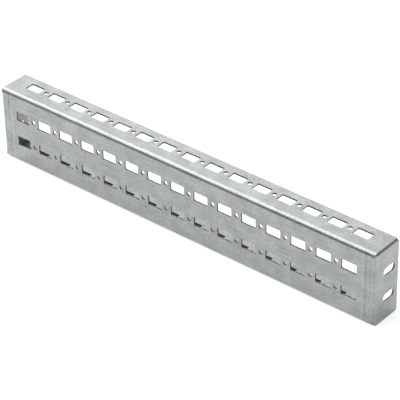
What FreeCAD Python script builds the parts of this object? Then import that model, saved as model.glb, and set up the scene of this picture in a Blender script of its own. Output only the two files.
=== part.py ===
import FreeCAD, Part
import os
from FreeCAD import Vector

# Punched mounting profile folded from one steel sheet, in millimetres.
# X runs along the profile, the web faces -Y and Z is up; the origin is under its middle.

# Folded shape
length = 401.0  # over the outer faces of the two end flanges
height = 69.2  # over the outer faces of the two long flanges
depth = 30.0  # from the web's outer face to the free edges of all flanges
sheet = 1.5
bend_inside = 2.5  # inside radius of all bends

# Corners, where a long flange and an end flange are folded from the same web
corner_clearance = 0.1  # from a long flange's end to an end flange's inner face
end_flange_foot = 0.7  # from the underside up to the lower edge of an end flange
end_flange_head = 1.5  # from the upper face down to the upper edge of an end flange
relief_width = 0.2  # slit between the two folds, along the web's height
relief_length = 4.6  # slit along the web, from an end flange's outer face
corner_relief = 2.8  # radius of the round relief about each corner where the folds meet

# Rows of slots and round holes along the web and the long flanges
pitch = 25.0
end_margin = 25.5  # least distance from an end to the middle of the first slot
slot_length = 15.0
slot_width = 9.0
hole_radius = 2.1
web_row_spacing = 25.0
web_rows_middle = 35.1  # above the underside, halfway between the web's rows
flange_row_inset = 12.0  # from a long flange's free edge

# Oblong holes in the end flanges
oblong_length = 14.5
oblong_width = 7.4
oblong_spacing = 25.0
oblong_inset = 12.0  # from an end flange's free edge
oblong_middle = 34.0  # above the underside, halfway between the two of a pair

# Worked out from the sizes above
bend_outside = bend_inside + sheet
front = -depth / 2
flange_run = length - 2 * (sheet + corner_clearance)
fold_edge = bend_outside + relief_width  # from a long flange's outer face to the notched bend's edge
through = 2 * sheet  # how far a punch stands out of the sheet on both sides
slot_count = int((length - 2 * end_margin) // pitch) + 1
slot_places = [pitch * (i - (slot_count - 1) / 2) for i in range(slot_count)]
hole_places = [x + pitch / 2 for x in slot_places[:-1]]


def folded_strip(run, web_reach):
    # An L of sheet along +X: a strip of web above, one bend, and a flange going back below it
    inner = bend_inside * (1 - 0.5 ** 0.5) + sheet
    outer = bend_outside * (1 - 0.5 ** 0.5)
    outline = [
        Part.LineSegment(Vector(0, depth, 0), Vector(0, bend_outside, 0)),
        Part.Arc(Vector(0, bend_outside, 0), Vector(0, outer, outer), Vector(0, 0, bend_outside)),
        Part.LineSegment(Vector(0, 0, bend_outside), Vector(0, 0, web_reach)),
        Part.LineSegment(Vector(0, 0, web_reach), Vector(0, sheet, web_reach)),
        Part.LineSegment(Vector(0, sheet, web_reach), Vector(0, sheet, bend_outside)),
        Part.Arc(Vector(0, sheet, bend_outside), Vector(0, inner, inner), Vector(0, bend_outside, sheet)),
        Part.LineSegment(Vector(0, bend_outside, sheet), Vector(0, depth, sheet)),
        Part.LineSegment(Vector(0, depth, sheet), Vector(0, depth, 0)),
    ]
    wire = Part.Wire([edge.toShape() for edge in outline])
    strip = Part.Face(wire).extrude(Vector(run, 0, 0))
    strip.translate(Vector(0, front, 0))
    return strip


def mirrored_left(shape):
    return shape.mirror(Vector(0, 0, 0), Vector(1, 0, 0))


def mirrored_up(shape):
    return shape.mirror(Vector(0, 0, height / 2), Vector(0, 0, 1))


def channel():
    # Web and long flanges, without the web's end strips where the end flanges bend away
    lower = folded_strip(flange_run, height / 2)
    lower.translate(Vector(-flange_run / 2, 0, 0))
    corner = Vector(length / 2 - bend_outside, front, bend_outside)
    past_bend = Part.makeBox(bend_outside, bend_outside, height - 2 * bend_outside, corner)
    return lower.fuse(mirrored_up(lower)).cut([past_bend, mirrored_left(past_bend)])


def end_flanges():
    # Each is notched along its bend, where it passes the ends of the long flanges
    right = folded_strip(height - end_flange_foot - end_flange_head, length / 2)
    right.rotate(Vector(0, 0, 0), Vector(0, 1, 0), -90)
    right.translate(Vector(length / 2, 0, end_flange_foot))
    notch = Part.makeBox(length / 2 - sheet, bend_outside, fold_edge, Vector(0, front, 0))
    right = right.cut([notch, mirrored_up(notch)])
    return right.fuse(mirrored_left(right))


def relief_slits():
    corner = Vector(length / 2 - relief_length, front, bend_outside)
    slit = Part.makeBox(relief_length - sheet, bend_outside, relief_width, corner)
    right = [slit, mirrored_up(slit)]
    return right + [mirrored_left(piece) for piece in right]


def corner_reliefs():
    # A relief about the corner of the three outer faces cuts the sheet squarely in both folds
    lower = Part.makeSphere(corner_relief, Vector(length / 2, front, 0))
    right = [lower, mirrored_up(lower)]
    return right + [mirrored_left(piece) for piece in right]


def folded_blank():
    blank = channel().fuse(end_flanges())
    return blank.cut(relief_slits() + corner_reliefs()).removeSplitter()


def oblong_punch(x, y, z):
    # Round-ended punch along X, its long way along Y
    straight = oblong_length - oblong_width
    start = x - through
    corner = Vector(start, y - straight / 2, z - oblong_width / 2)
    middle = Part.makeBox(2 * through, straight, oblong_width, corner)
    along = Vector(1, 0, 0)
    ends = [
        Part.makeCylinder(oblong_width / 2, 2 * through, Vector(start, y + side * straight / 2, z), along)
        for side in (-1, 1)
    ]
    return middle.fuse(ends)


def web_punches():
    punches = []
    start = front - through
    along = Vector(0, 1, 0)
    for z in (web_rows_middle - web_row_spacing / 2, web_rows_middle + web_row_spacing / 2):
        for x in slot_places:
            corner = Vector(x - slot_length / 2, start, z - slot_width / 2)
            punches.append(Part.makeBox(slot_length, 2 * through, slot_width, corner))
        for x in hole_places:
            punches.append(Part.makeCylinder(hole_radius, 2 * through, Vector(x, start, z), along))
    return punches


def long_flange_punches():
    # Each punch goes through the lower and the upper flange
    punches = []
    y = front + depth - flange_row_inset
    run = height + 2 * through
    for x in slot_places:
        corner = Vector(x - slot_length / 2, y - slot_width / 2, -through)
        punches.append(Part.makeBox(slot_length, slot_width, run, corner))
    for x in hole_places:
        punches.append(Part.makeCylinder(hole_radius, run, Vector(x, y, -through)))
    return punches


def end_flange_punches():
    y = front + depth - oblong_inset
    return [
        oblong_punch(side * length / 2, y, oblong_middle + step * oblong_spacing / 2)
        for side in (-1, 1)
        for step in (-1, 1)
    ]


def mounting_profile():
    punches = web_punches() + long_flange_punches() + end_flange_punches()
    return folded_blank().cut(punches)


os.makedirs("parts", exist_ok=True)
profile = mounting_profile()
print("solids", len(profile.Solids), "valid", profile.isValid(), "volume", round(profile.Volume, 1))
profile.exportStep("parts/mounting_profile.step")
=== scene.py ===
import bpy
import math
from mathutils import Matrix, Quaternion, Vector


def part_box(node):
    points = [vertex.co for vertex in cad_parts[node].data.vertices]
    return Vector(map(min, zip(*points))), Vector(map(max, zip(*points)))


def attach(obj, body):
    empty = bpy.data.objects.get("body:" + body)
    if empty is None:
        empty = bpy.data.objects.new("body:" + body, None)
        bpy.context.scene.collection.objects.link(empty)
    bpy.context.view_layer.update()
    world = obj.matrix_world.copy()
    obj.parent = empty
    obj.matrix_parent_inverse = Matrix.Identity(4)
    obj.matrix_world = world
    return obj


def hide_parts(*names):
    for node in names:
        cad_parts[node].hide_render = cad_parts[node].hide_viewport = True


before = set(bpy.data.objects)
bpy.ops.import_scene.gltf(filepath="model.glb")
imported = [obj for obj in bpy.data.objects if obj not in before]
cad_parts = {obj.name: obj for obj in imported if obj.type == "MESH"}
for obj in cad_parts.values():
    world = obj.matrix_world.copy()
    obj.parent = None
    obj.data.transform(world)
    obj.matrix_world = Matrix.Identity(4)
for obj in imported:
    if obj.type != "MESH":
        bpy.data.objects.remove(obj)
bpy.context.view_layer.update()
print("frame loaded")

millimetre = 0.001
touch = 0.00002  # closer than this counts as lying in the same face
squareOn = 0.9  # least part of a normal along the axis that its face looks along
sortFrom = (1.0, -0.7, 0.4)  # an odd place, so that no two points lie equally far from it

# The folded sheet; its overall size comes from the frame
sheetSizes = {
    "name": "punched_sheet",
    "wall": 1.5 * millimetre,
    "bendRadius": 4.0 * millimetre,  # outside of every fold
    "bendSteps": 18,
    "cornerClearance": 0.1 * millimetre,  # from a long flange's end to an end flange
    "endFlangeFoot": 0.7 * millimetre,  # from the underside up to an end flange
    "endFlangeHead": 1.5 * millimetre,  # from the upper face down to an end flange
    "reliefWidth": 0.2 * millimetre,
    "reliefLength": 4.6 * millimetre,
    "cornerRelief": 2.8 * millimetre,  # radius of the round relief where the folds meet
    "reliefSteps": 32,
    "edgeRound": 0.12 * millimetre,  # roll-over of a punched edge
    "edgeSteps": 2,
    "edgeAngle": 60.0,  # degrees: sharper than this is a sheared edge
    "smoothAngle": 50.0,
    "flatAngle": 0.2,  # scraps closer to flat than this become one face
}

# The punched pattern
punchSizes = {
    "pitch": 25.0 * millimetre,
    "slots": 15,
    "slotLength": 15.0 * millimetre,
    "slotWidth": 9.0 * millimetre,
    "slotCorner": 0.9 * millimetre,
    "slotCornerSteps": 5,
    "holeRadius": 2.1 * millimetre,
    "webRows": 25.0 * millimetre,  # from row to row
    "webRowsMiddle": 35.1 * millimetre,  # above the underside
    "flangeRow": 12.0 * millimetre,  # from the long flange's free edge
    "oblongLength": 14.5 * millimetre,
    "oblongWidth": 7.4 * millimetre,
    "oblongRows": 25.0 * millimetre,
    "oblongRow": 12.0 * millimetre,  # from the end flange's free edge
    "oblongMiddle": 34.0 * millimetre,  # above the underside
    "roundSteps": 40,
}

lowCorner, highCorner = (Vector(corner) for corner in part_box("mounting_profile"))
halfLength = highCorner.x
length = 2 * halfLength
height = highCorner.z
webFace = lowCorner.y
backEdge = highCorner.y
bend = sheetSizes["bendRadius"]
wall = sheetSizes["wall"]
foldEdge = bend + sheetSizes["reliefWidth"]  # from a long flange's face to the notched fold's edge
punchRun = 4 * wall  # a punch stands out on both sides of the sheet


def deselectAll():
    bpy.ops.object.select_all(action="DESELECT")


def makeActive(piece):
    deselectAll()
    piece.select_set(True)
    bpy.context.view_layer.objects.active = piece


def applyPlace(piece):
    makeActive(piece)
    bpy.ops.object.transform_apply(location=True, rotation=True, scale=True)


def applyModifier(piece, change):
    makeActive(piece)
    bpy.ops.object.modifier_apply(modifier=change.name)


def selectInEdit(piece, mode, wanted):
    # wanted(element) picks faces or edges in code; the piece is left in edit mode
    makeActive(piece)
    bpy.ops.object.mode_set(mode="EDIT")
    bpy.ops.mesh.select_mode(type=mode)
    bpy.ops.mesh.select_all(action="DESELECT")
    bpy.ops.object.mode_set(mode="OBJECT")
    elements = piece.data.polygons if mode == "FACE" else piece.data.edges
    for element in elements:
        element.select = wanted(element)
    bpy.ops.object.mode_set(mode="EDIT")


def addBlock(name, lowest, highest):
    deselectAll()
    lowest, highest = Vector(lowest), Vector(highest)
    bpy.ops.mesh.primitive_cube_add(size=1, location=(lowest + highest) / 2)
    block = bpy.context.object
    block.name = name
    block.scale = highest - lowest
    applyPlace(block)
    return block


def shapeWith(piece, tool, operation):
    # One boolean step, applied, and the tool thrown away
    change = piece.modifiers.new("shape", "BOOLEAN")
    change.operation = operation
    change.solver = "EXACT"
    change.object = tool
    applyModifier(piece, change)
    bpy.data.objects.remove(tool)


def foldedSheet(name, lowest, highest, foldAxis):
    # Three plates of a box, open at the back and at both ends of foldAxis, folded and given their wall
    sheet = addBlock(name, lowest, highest)

    def isOpen(face):
        return face.normal.y > squareOn or abs(face.normal[foldAxis]) > squareOn

    selectInEdit(sheet, "FACE", isOpen)
    bpy.ops.mesh.delete(type="FACE")
    bpy.ops.object.mode_set(mode="OBJECT")
    points = sheet.data.vertices

    def isFold(edge):
        start, end = (points[index].co for index in edge.vertices)
        return max(start.y, end.y) < webFace + touch and abs(start[foldAxis] - end[foldAxis]) > touch

    selectInEdit(sheet, "EDGE", isFold)
    bpy.ops.mesh.bevel(offset=bend, segments=sheetSizes["bendSteps"], profile=0.5)
    bpy.ops.object.mode_set(mode="OBJECT")
    thicken = sheet.modifiers.new("wall", "SOLIDIFY")
    thicken.thickness = wall
    thicken.offset = -1
    thicken.use_even_offset = True
    applyModifier(sheet, thicken)
    return sheet


def cornerRelief(side, face):
    deselectAll()
    steps, radius = sheetSizes["reliefSteps"], sheetSizes["cornerRelief"]
    bpy.ops.mesh.primitive_uv_sphere_add(segments=steps, ring_count=steps // 2, radius=radius,
                                         location=(side * halfLength, webFace, face))
    relief = bpy.context.object
    relief.name = "corner_relief"
    applyPlace(relief)
    return relief


def foldedBlank():
    # The long channel and the end flanges share one web, and slits part their folds at the corners
    reach = halfLength - wall - sheetSizes["cornerClearance"]
    blank = foldedSheet(sheetSizes["name"], (-reach, webFace, 0), (reach, backEdge, height), 0)
    for side in (-1, 1):
        inner, outer = sorted((side * (halfLength - bend), side * length))
        lowest, highest = (inner, webFace - bend, bend), (outer, webFace + bend, height - bend)
        pastFold = addBlock("past_fold", lowest, highest)
        shapeWith(blank, pastFold, "DIFFERENCE")
    foot, head = sheetSizes["endFlangeFoot"], height - sheetSizes["endFlangeHead"]
    ends = foldedSheet("end_flanges", (-halfLength, webFace, foot), (halfLength, backEdge, head), 2)
    innerEnd = halfLength - wall
    for low, high in ((0, foldEdge), (height - foldEdge, height)):
        notch = addBlock("notch", (-innerEnd, webFace - bend, low), (innerEnd, webFace + bend, high))
        shapeWith(ends, notch, "DIFFERENCE")
    shapeWith(blank, ends, "UNION")
    for side in (-1, 1):
        slitEnd = innerEnd - touch / 2  # a hair short of the end flange's face
        inner, outer = sorted((side * (halfLength - sheetSizes["reliefLength"]), side * slitEnd))
        for low, high in ((bend, foldEdge), (height - foldEdge, height - bend)):
            slit = addBlock("slit", (inner, webFace - bend, low), (outer, webFace + bend, high))
            shapeWith(blank, slit, "DIFFERENCE")
        for face in (0, height):
            shapeWith(blank, cornerRelief(side, face), "DIFFERENCE")
    return blank


def slotPunch(middle, size, along):
    # Block with its four corners rounded, along is the axis that it is punched in
    punch = addBlock("slot_punch", middle - size / 2, middle + size / 2)
    points = punch.data.vertices

    def isCorner(edge):
        start, end = (points[index].co for index in edge.vertices)
        return abs(start[along] - end[along]) > touch

    selectInEdit(punch, "EDGE", isCorner)
    bpy.ops.mesh.bevel(offset=punchSizes["slotCorner"], segments=punchSizes["slotCornerSteps"], profile=0.5)
    bpy.ops.object.mode_set(mode="OBJECT")
    return punch


def roundPunch(middle, radius, run, turn):
    deselectAll()
    bpy.ops.mesh.primitive_cylinder_add(vertices=punchSizes["roundSteps"], radius=radius, depth=run,
                                        location=middle, rotation=turn)
    punch = bpy.context.object
    punch.name = "round_punch"
    applyPlace(punch)
    return punch


def oblongPunch(middle):
    # A round punch along X, pulled apart along Y
    radius = punchSizes["oblongWidth"] / 2
    pull = (punchSizes["oblongLength"] - punchSizes["oblongWidth"]) / 2
    halfStep = math.pi / punchSizes["roundSteps"]
    punch = roundPunch(Vector((0, 0, 0)), radius, punchRun, (halfStep, math.pi / 2, 0))
    for point in punch.data.vertices:
        point.co.y += math.copysign(pull, point.co.y)
    punch.location = middle
    applyPlace(punch)
    return punch


def copyAlong(punch, places):
    # Copies of one punch at other places along the profile, each with its own mesh
    copies = []
    for place in places:
        twin = punch.copy()
        twin.data = punch.data.copy()
        twin.location = (place, 0, 0)
        bpy.context.collection.objects.link(twin)
        applyPlace(twin)
        copies.append(twin)
    bpy.data.objects.remove(punch)
    return copies


def punchTools():
    sizes = punchSizes
    firstSlot = -sizes["pitch"] * (sizes["slots"] - 1) / 2
    slotPlaces = [firstSlot + sizes["pitch"] * step for step in range(sizes["slots"])]
    holePlaces = [place + sizes["pitch"] / 2 for place in slotPlaces[:-1]]
    tools = []
    for side in (-1, 1):
        row = sizes["webRowsMiddle"] + side * sizes["webRows"] / 2
        webSlot = Vector((sizes["slotLength"], punchRun, sizes["slotWidth"]))
        slot = slotPunch(Vector((0, webFace, row)), webSlot, 1)
        tools += copyAlong(slot, slotPlaces)
        hole = roundPunch(Vector((0, webFace, row)), sizes["holeRadius"], punchRun, (math.pi / 2, 0, 0))
        tools += copyAlong(hole, holePlaces)
    row = backEdge - sizes["flangeRow"]
    run = height + punchRun  # one punch for both long flanges
    flangeSlot = Vector((sizes["slotLength"], sizes["slotWidth"], run))
    slot = slotPunch(Vector((0, row, height / 2)), flangeSlot, 2)
    tools += copyAlong(slot, slotPlaces)
    hole = roundPunch(Vector((0, row, height / 2)), sizes["holeRadius"], run, (0, 0, 0))
    tools += copyAlong(hole, holePlaces)
    for side in (-1, 1):
        for step in (-1, 1):
            row = sizes["oblongMiddle"] + step * sizes["oblongRows"] / 2
            tools.append(oblongPunch(Vector((side * halfLength, backEdge - sizes["oblongRow"], row))))
    return tools


def punchBlank(blank):
    tools = punchTools()
    deselectAll()
    for tool in tools:
        tool.select_set(True)
    bpy.context.view_layer.objects.active = tools[0]
    bpy.ops.object.join()
    shapeWith(blank, tools[0], "DIFFERENCE")


def roundEdges(sheet):
    # Coplanar scraps are merged in a fixed order, then every sheared edge gets its small roll-over
    selectInEdit(sheet, "FACE", lambda face: True)
    cursor = bpy.context.scene.cursor
    cursor.location = sortFrom
    bpy.ops.mesh.sort_elements(type="CURSOR_DISTANCE", elements={"VERT", "EDGE", "FACE"})
    cursor.location = (0, 0, 0)
    bpy.ops.mesh.remove_doubles(threshold=touch / 4)
    bpy.ops.mesh.dissolve_limited(angle_limit=math.radians(sheetSizes["flatAngle"]))
    bpy.ops.object.mode_set(mode="OBJECT")
    rollOver = sheet.modifiers.new("roll_over", "BEVEL")
    rollOver.width = sheetSizes["edgeRound"]
    rollOver.segments = sheetSizes["edgeSteps"]
    rollOver.limit_method = "ANGLE"
    rollOver.angle_limit = math.radians(sheetSizes["edgeAngle"])
    applyModifier(sheet, rollOver)
    makeActive(sheet)
    bpy.ops.object.shade_smooth_by_angle(angle=math.radians(sheetSizes["smoothAngle"]))
    flatter = sheet.modifiers.new("flatter", "WEIGHTED_NORMAL")
    flatter.weight = 100  # the large faces alone set the shading beside a roll-over
    flatter.keep_sharp = True
    applyModifier(sheet, flatter)


def unrolledPlace(point):
    # Where a point of the folded sheet lies on the flat blank, and how deep it is under the outer face
    fromWeb = point.y - webFace
    fromEnd = halfLength - abs(point.x)
    fromLong = min(point.z, height - point.z)
    onEndFlange = fromEnd < wall + sheetSizes["cornerClearance"] / 2
    onLongFlange = fromLong < bend + sheetSizes["reliefWidth"] / 2 and not onEndFlange
    fromFlange = fromLong if onLongFlange else fromEnd
    if fromWeb < bend and fromFlange < bend:
        turned = math.atan2(bend - fromFlange, bend - fromWeb)
        pastFold = bend * turned
        depth = bend - math.hypot(bend - fromWeb, bend - fromFlange)
    elif fromWeb < bend:
        pastFold = bend - fromFlange
        depth = fromWeb
    else:
        pastFold = bend * math.pi / 2 + fromWeb - bend
        depth = fromFlange
    if onLongFlange:
        across = bend - pastFold if point.z < height / 2 else height - bend + pastFold
        return point.x, across, depth
    return math.copysign(halfLength - bend + pastFold, point.x), point.z, depth


def onRelief(point):
    # Points of the round reliefs lie on spheres about the four outer corners
    corner = Vector((math.copysign(halfLength, point.x), webFace, 0 if point.z < height / 2 else height))
    return abs((point - corner).length - sheetSizes["cornerRelief"]) < 3 * touch


def layOutSheet(sheet):
    # A map of the flat blank in metres, the depth in the wall, and the cut faces in their own slot
    mesh = sheet.data
    flat = mesh.uv_layers.new(name="blank")
    depths = mesh.attributes.new("wallDepth", "FLOAT", "POINT")
    places = [unrolledPlace(point.co) for point in mesh.vertices]
    for index, place in enumerate(places):
        depths.data[index].value = place[2] / wall
    for face in mesh.polygons:
        span = [places[index][2] for index in face.vertices]
        rim = [mesh.vertices[index].co for index in face.vertices]
        relieved = all(onRelief(point) for point in [face.center] + rim)
        isCut = relieved or max(span) - min(span) > wall / 2
        face.material_index = 1 if isCut else 0
        for loop in face.loop_indices:
            place = places[mesh.loops[loop].vertex_index]
            flat.data[loop].uv = place[:2]


def addNode(tree, kind, **settings):
    node = tree.nodes.new(kind)
    for name, value in settings.items():
        if hasattr(node, name):
            setattr(node, name, value)
        else:
            node.inputs[name].default_value = value
    return node


def mathNode(tree, operation, first, second=0.0, third=None):
    node = tree.nodes.new("ShaderNodeMath")
    node.operation = operation
    values = (first, second) if third is None else (first, second, third)
    for socket, value in zip(node.inputs, values):
        if isinstance(value, (int, float)):
            socket.default_value = value
        else:
            tree.links.new(value, socket)
    return node.outputs[0]


def mixedColour(tree, share, first, second):
    node = addNode(tree, "ShaderNodeMix", data_type="RGBA")  # its colours are inputs 6 and 7, output 2
    node.inputs[6].default_value = first
    node.inputs[7].default_value = second
    tree.links.new(share, node.inputs["Factor"])
    return node.outputs[2]


def spreadMask(tree, value, lowest, highest):
    # Stretches a value to the range from 0 to 1 with soft ends
    node = addNode(tree, "ShaderNodeMapRange", interpolation_type="SMOOTHSTEP")
    node.inputs["From Min"].default_value = lowest
    node.inputs["From Max"].default_value = highest
    tree.links.new(value, node.inputs["Value"])
    return node.outputs["Result"]


# How coarse the marks of rolling, plating and handling are
grainLook = {
    "streakLength": 45.0 * millimetre,
    "streakWidth": 1.3 * millimetre,
    "cloudSize": 14.0 * millimetre,
    "speckSize": 2.2 * millimetre,
    "streakNoise": (3.0, 0.6),  # detail and roughness
    "cloudNoise": (3.0, 0.5),
    "speckNoise": (2.0, 0.6),
    "noiseEnds": (0.25, 0.75),  # the noise between these is stretched to 0 to 1
}


def sheetGrainGroup():
    # Rolling streaks, clouds of plating and fine specks on the flat blank, all as masks from 0 to 1
    group = bpy.data.node_groups.new("sheet_grain", "ShaderNodeTree")
    place = group.interface.new_socket("Place", in_out="INPUT", socket_type="NodeSocketVector")
    place.hide_value = True
    for name in ("Streaks", "Clouds", "Specks"):
        group.interface.new_socket(name, in_out="OUTPUT", socket_type="NodeSocketFloat")
    start = group.nodes.new("NodeGroupInput")
    end = group.nodes.new("NodeGroupOutput")

    def noiseOn(size, detail, roughness):
        stretch = addNode(group, "ShaderNodeMapping")
        stretch.inputs["Scale"].default_value = size
        noise = addNode(group, "ShaderNodeTexNoise", Scale=1.0, Detail=detail, Roughness=roughness)
        group.links.new(start.outputs["Place"], stretch.inputs["Vector"])
        group.links.new(stretch.outputs["Vector"], noise.inputs["Vector"])
        return spreadMask(group, noise.outputs["Fac"], *grainLook["noiseEnds"])

    along, across = 1 / grainLook["streakLength"], 1 / grainLook["streakWidth"]
    cloud, speck = 1 / grainLook["cloudSize"], 1 / grainLook["speckSize"]
    group.links.new(noiseOn((along, across, 1), *grainLook["streakNoise"]), end.inputs["Streaks"])
    group.links.new(noiseOn((cloud, cloud, cloud), *grainLook["cloudNoise"]), end.inputs["Clouds"])
    group.links.new(noiseOn((speck, speck, speck), *grainLook["speckNoise"]), end.inputs["Specks"])
    return group


# The plated faces
zincLook = {
    "tone": (0.570, 0.598, 0.586, 1.0),
    "shade": (0.270, 0.287, 0.279, 1.0),
    "streakShare": 0.34,  # of the step from shade to tone
    "cloudShare": 0.30,
    "roughness": 0.32,
    "roughnessSpread": 0.10,
    "bumpHeight": 0.02 * millimetre,
    "streakBump": 0.4,  # beside the specks
    "witnessBump": 0.5,
    "innerPaintedShade": 0.26,  # painted shade: how much darker the inner face is coloured
    "innerPaintedShadeEdge": (0.4, 0.6),  # of the wall's depth, where the painted shade begins
    "witnessLines": (  # place from the end, how dark
        (1.5 * millimetre, 0.15),
        (5.0 * millimetre, 0.12),
        (9.4 * millimetre, 0.26),
        (12.4 * millimetre, -0.12),
    ),
    "witnessWidth": 1.6 * millimetre,
    "witnessWorn": 0.9,  # how much the lines fade in places
}

# The faces that the press and the punches cut
cutLook = {
    "sheared": (0.36, 0.367, 0.364, 1.0),
    "torn": (0.22, 0.225, 0.223, 1.0),
    "shearedShare": 0.32,  # of the wall, from the outer face
    "ragged": 0.10,  # how unevenly the bands part
    "bandEdge": 0.08,  # how softly
    "roughness": 0.38,
    "tornRoughness": 0.62,
    "bumpHeight": 0.05 * millimetre,
}


def blankPlace(tree):
    return addNode(tree, "ShaderNodeUVMap", uv_map="blank").outputs["UV"]


def wallDepth(tree):
    return addNode(tree, "ShaderNodeAttribute", attribute_name="wallDepth").outputs["Fac"]


def addGrain(tree, group):
    grain = addNode(tree, "ShaderNodeGroup")
    grain.node_tree = group
    tree.links.new(blankPlace(tree), grain.inputs["Place"])
    return grain.outputs


def emptyMaterial(name):
    material = bpy.data.materials.new(name)
    material.use_nodes = True
    return material, material.node_tree, material.node_tree.nodes["Principled BSDF"]


def witnessMask(tree, clouds):
    # Faint worn lines across the web where the press held it, near both ends
    split = addNode(tree, "ShaderNodeSeparateXYZ")
    tree.links.new(blankPlace(tree), split.inputs["Vector"])
    fromMiddle = mathNode(tree, "ABSOLUTE", split.outputs["X"])
    total = 0.0
    for place, depth in zincLook["witnessLines"]:
        aside = mathNode(tree, "ABSOLUTE", mathNode(tree, "SUBTRACT", fromMiddle, halfLength - place))
        line = spreadMask(tree, aside, zincLook["witnessWidth"], 0.0)
        total = mathNode(tree, "MULTIPLY_ADD", line, depth, total)
    aside = mathNode(tree, "ABSOLUTE", mathNode(tree, "SUBTRACT", split.outputs["Y"], height / 2))
    onWeb = spreadMask(tree, aside, height / 2, height / 2 - bend)
    kept = mathNode(tree, "MULTIPLY_ADD", clouds, -zincLook["witnessWorn"], 1 + zincLook["witnessWorn"] / 2)
    return mathNode(tree, "MULTIPLY", total, mathNode(tree, "MULTIPLY", onWeb, kept))


def zincMaterial(group):
    material, tree, surface = emptyMaterial("zinc_plate")
    grain = addGrain(tree, group)
    streaks = mathNode(tree, "MULTIPLY", grain["Streaks"], zincLook["streakShare"])
    clouds = mathNode(tree, "MULTIPLY_ADD", grain["Clouds"], zincLook["cloudShare"], streaks)
    speckShare = 1 - zincLook["streakShare"] - zincLook["cloudShare"]
    mottle = mathNode(tree, "MULTIPLY_ADD", grain["Specks"], speckShare, clouds)
    witness = witnessMask(tree, grain["Clouds"])
    mottle = mathNode(tree, "SUBTRACT", mottle, witness)
    # Painted shade on the inner face of the sheet, which lies in the channel's shade
    inner = spreadMask(tree, wallDepth(tree), *zincLook["innerPaintedShadeEdge"])
    mottle = mathNode(tree, "MULTIPLY_ADD", inner, -zincLook["innerPaintedShade"], mottle)
    colour = mixedColour(tree, mottle, zincLook["shade"], zincLook["tone"])
    tree.links.new(colour, surface.inputs["Base Color"])
    rough = mathNode(tree, "MULTIPLY_ADD", grain["Streaks"], zincLook["roughnessSpread"],
                     zincLook["roughness"] - zincLook["roughnessSpread"] / 2)
    tree.links.new(rough, surface.inputs["Roughness"])
    relief = addNode(tree, "ShaderNodeBump", Strength=1.0, Distance=zincLook["bumpHeight"])
    raised = mathNode(tree, "MULTIPLY_ADD", grain["Streaks"], zincLook["streakBump"], grain["Specks"])
    raised = mathNode(tree, "MULTIPLY_ADD", witness, -zincLook["witnessBump"], raised)
    tree.links.new(raised, relief.inputs["Height"])
    tree.links.new(relief.outputs["Normal"], surface.inputs["Normal"])
    surface.inputs["Metallic"].default_value = 1.0
    return material


def cutMaterial(group):
    # A smooth sheared band under the outer face and a dull torn band below it
    material, tree, surface = emptyMaterial("cut_edge")
    grain = addGrain(tree, group)
    line = mathNode(tree, "MULTIPLY_ADD", grain["Specks"], cutLook["ragged"],
                    cutLook["shearedShare"] - cutLook["ragged"] / 2)
    pastLine = mathNode(tree, "SUBTRACT", wallDepth(tree), line)
    torn = spreadMask(tree, pastLine, -cutLook["bandEdge"], cutLook["bandEdge"])
    colour = mixedColour(tree, torn, cutLook["sheared"], cutLook["torn"])
    tree.links.new(colour, surface.inputs["Base Color"])
    rougher = cutLook["tornRoughness"] - cutLook["roughness"]
    rough = mathNode(tree, "MULTIPLY_ADD", torn, rougher, cutLook["roughness"])
    tree.links.new(rough, surface.inputs["Roughness"])
    relief = addNode(tree, "ShaderNodeBump", Strength=1.0, Distance=cutLook["bumpHeight"])
    tree.links.new(mathNode(tree, "MULTIPLY", grain["Specks"], torn), relief.inputs["Height"])
    tree.links.new(relief.outputs["Normal"], surface.inputs["Normal"])
    surface.inputs["Metallic"].default_value = 1.0
    return material


def punchedSheet():
    sheet = foldedBlank()
    print("blank folded")
    punchBlank(sheet)
    print("blank punched")
    roundEdges(sheet)
    layOutSheet(sheet)
    group = sheetGrainGroup()
    sheet.data.materials.append(zincMaterial(group))
    sheet.data.materials.append(cutMaterial(group))
    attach(sheet, "root")
    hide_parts("mounting_profile")
    print("sheet finished", len(sheet.data.polygons), "faces")
    return sheet


# Floor, lamps and world, at a plain level
stageLook = {
    "floorSize": 12.0,
    "floorRoughness": 0.9,
    "floorGloss": 0.1,
    "paperTone": 0.92,
    "groundTone": 0.34,
    "paintedShadowShare": 0.25,  # painted shadow: the paper's tone is kept to this share deep under the sheet
    "paperEdge": (0.15, 0.45),  # from the sheet's outline, the paper fades to the ground
    "paperTopUp": 0.50,  # added for the camera
    "groundTopUp": 0.80,
    "mirroredTopUp": 0.15,  # added for reflections of the paper
    "paintedShadowEdge": (2.5 * millimetre, 5.0 * millimetre),  # in from the outline, where the painted shadow begins
    "worldTone": (0.30, 0.30, 0.304, 1.0),
    "worldSeen": (1.0, 1.0, 1.0, 1.0),  # what the camera sees of the world past the floor
}

# Where each lamp hangs, its distance and width in metres, and how bright its face is
lampPlan = [
    {"name": "key_softbox", "azimuth": -72.0, "elevation": 60.0,
     "distance": 3.0, "width": 3.0, "brightness": 1.8},
    {"name": "back_softbox", "azimuth": -122.0, "elevation": 32.0,
     "distance": 3.0, "width": 3.2, "brightness": 1.08},
    {"name": "fill_softbox", "azimuth": 60.0, "elevation": 40.0,
     "distance": 3.0, "width": 2.0, "brightness": 2.0},
]


def pointFrom(azimuth, elevation):
    # Unit vector from the object; azimuth 0 is in front of the web (-Y), positive towards +X
    turn, rise = math.radians(azimuth), math.radians(elevation)
    return Vector((math.sin(turn) * math.cos(rise), -math.cos(turn) * math.cos(rise), math.sin(rise)))


def addLamp(plan):
    deselectAll()
    heading = pointFrom(plan["azimuth"], plan["elevation"])
    place = Vector((0, 0, height / 2)) + heading * plan["distance"]
    facing = heading.to_track_quat("Z", "Y").to_euler()
    bpy.ops.object.light_add(type="AREA", location=place, rotation=facing)
    lamp = bpy.context.object
    lamp.name = plan["name"]
    lamp.data.shape = "SQUARE"
    lamp.data.size = plan["width"]
    lamp.data.energy = plan["brightness"] * math.pi * plan["width"] ** 2


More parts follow.
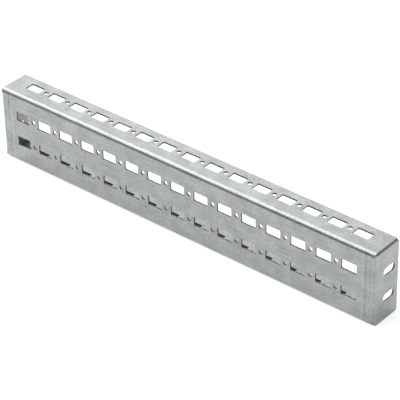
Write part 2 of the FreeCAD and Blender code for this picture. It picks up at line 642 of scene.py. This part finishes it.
def insideOutline(tree):
    # How far a point of the floor lies in from the sheet's outline, less than nothing outside it
    place = addNode(tree, "ShaderNodeTexCoord").outputs["Object"]
    split = addNode(tree, "ShaderNodeSeparateXYZ")
    tree.links.new(place, split.inputs["Vector"])
    fromEnd = mathNode(tree, "SUBTRACT", halfLength, mathNode(tree, "ABSOLUTE", split.outputs["X"]))
    fromSide = mathNode(tree, "SUBTRACT", backEdge, mathNode(tree, "ABSOLUTE", split.outputs["Y"]))
    return mathNode(tree, "MINIMUM", fromEnd, fromSide)


def addFloor():
    deselectAll()
    bpy.ops.mesh.primitive_plane_add(size=stageLook["floorSize"], location=(0, 0, 0))
    floor = bpy.context.object
    floor.name = "floor"
    material, tree, surface = emptyMaterial("pale_floor")
    inside = insideOutline(tree)
    # Painted shadow under the sheet: the floor's colour is darkened there and its top-up is taken away
    paintedShadowMask = spreadMask(tree, inside, *stageLook["paintedShadowEdge"])
    near, far = stageLook["paperEdge"]
    ground = spreadMask(tree, inside, -near, -far)
    darker = stageLook["groundTone"] - stageLook["paperTone"]
    tone = mathNode(tree, "MULTIPLY_ADD", ground, darker, stageLook["paperTone"])
    kept = mathNode(tree, "MULTIPLY_ADD", paintedShadowMask, stageLook["paintedShadowShare"] - 1, 1.0)
    tree.links.new(mathNode(tree, "MULTIPLY", tone, kept), surface.inputs["Base Color"])
    surface.inputs["Roughness"].default_value = stageLook["floorRoughness"]
    surface.inputs["Specular IOR Level"].default_value = stageLook["floorGloss"]
    ray = addNode(tree, "ShaderNodeLightPath")
    more = stageLook["groundTopUp"] - stageLook["paperTopUp"]
    seen = mathNode(tree, "MULTIPLY_ADD", ground, more, stageLook["paperTopUp"])
    seen = mathNode(tree, "MULTIPLY", seen, ray.outputs["Is Camera Ray"])
    paper = mathNode(tree, "SUBTRACT", 1.0, ground)
    mirrored = mathNode(tree, "MULTIPLY", paper, stageLook["mirroredTopUp"])
    topUp = mathNode(tree, "MULTIPLY_ADD", mirrored, ray.outputs["Is Glossy Ray"], seen)
    # no top-up where the painted shadow lies
    topUp = mathNode(tree, "MULTIPLY", topUp, mathNode(tree, "SUBTRACT", 1.0, paintedShadowMask))
    surface.inputs["Emission Color"].default_value = (1.0, 1.0, 1.0, 1.0)
    tree.links.new(topUp, surface.inputs["Emission Strength"])
    floor.data.materials.append(material)


def addWorld():
    # Grey as light and in reflections, white to the camera past the floor
    world = bpy.data.worlds.new("studio")
    world.use_nodes = True
    tree = world.node_tree
    seen = addNode(tree, "ShaderNodeLightPath").outputs["Is Camera Ray"]
    tone = mixedColour(tree, seen, stageLook["worldTone"], stageLook["worldSeen"])
    tree.links.new(tone, tree.nodes["Background"].inputs["Color"])
    bpy.context.scene.world = world


# Where the photograph was taken from: millimetres and degrees
cameraPlace = {
    "look": (24.69, -15.09, 46.77),
    "azimuth": 40.734,
    "elevation": 34.134,
    "distance": 1721.0,
    "nearest": 10.0,
    "roll": 1.318,
    "focalPixels": 2118.2,
    "imagePixels": 400,
    "sensorWidth": 36.0,
}


def addCamera():
    deselectAll()
    look = Vector(cameraPlace["look"]) * millimetre
    heading = pointFrom(cameraPlace["azimuth"], cameraPlace["elevation"])
    bpy.ops.object.camera_add(location=look + heading * cameraPlace["distance"] * millimetre)
    camera = bpy.context.object
    camera.name = "camera"
    facing = (-heading).to_track_quat("-Z", "Y") @ Quaternion((0, 0, 1), math.radians(-cameraPlace["roll"]))
    camera.rotation_euler = facing.to_euler()
    camera.data.sensor_width = cameraPlace["sensorWidth"]
    camera.data.lens = cameraPlace["focalPixels"] / cameraPlace["imagePixels"] * cameraPlace["sensorWidth"]
    camera.data.clip_start = cameraPlace["nearest"] * millimetre
    bpy.context.scene.camera = camera


addCamera()
punchedSheet()
addFloor()
for plan in lampPlan:
    addLamp(plan)
addWorld()
bpy.context.scene.view_settings.view_transform = "Standard"
print("stage and lamps ready")
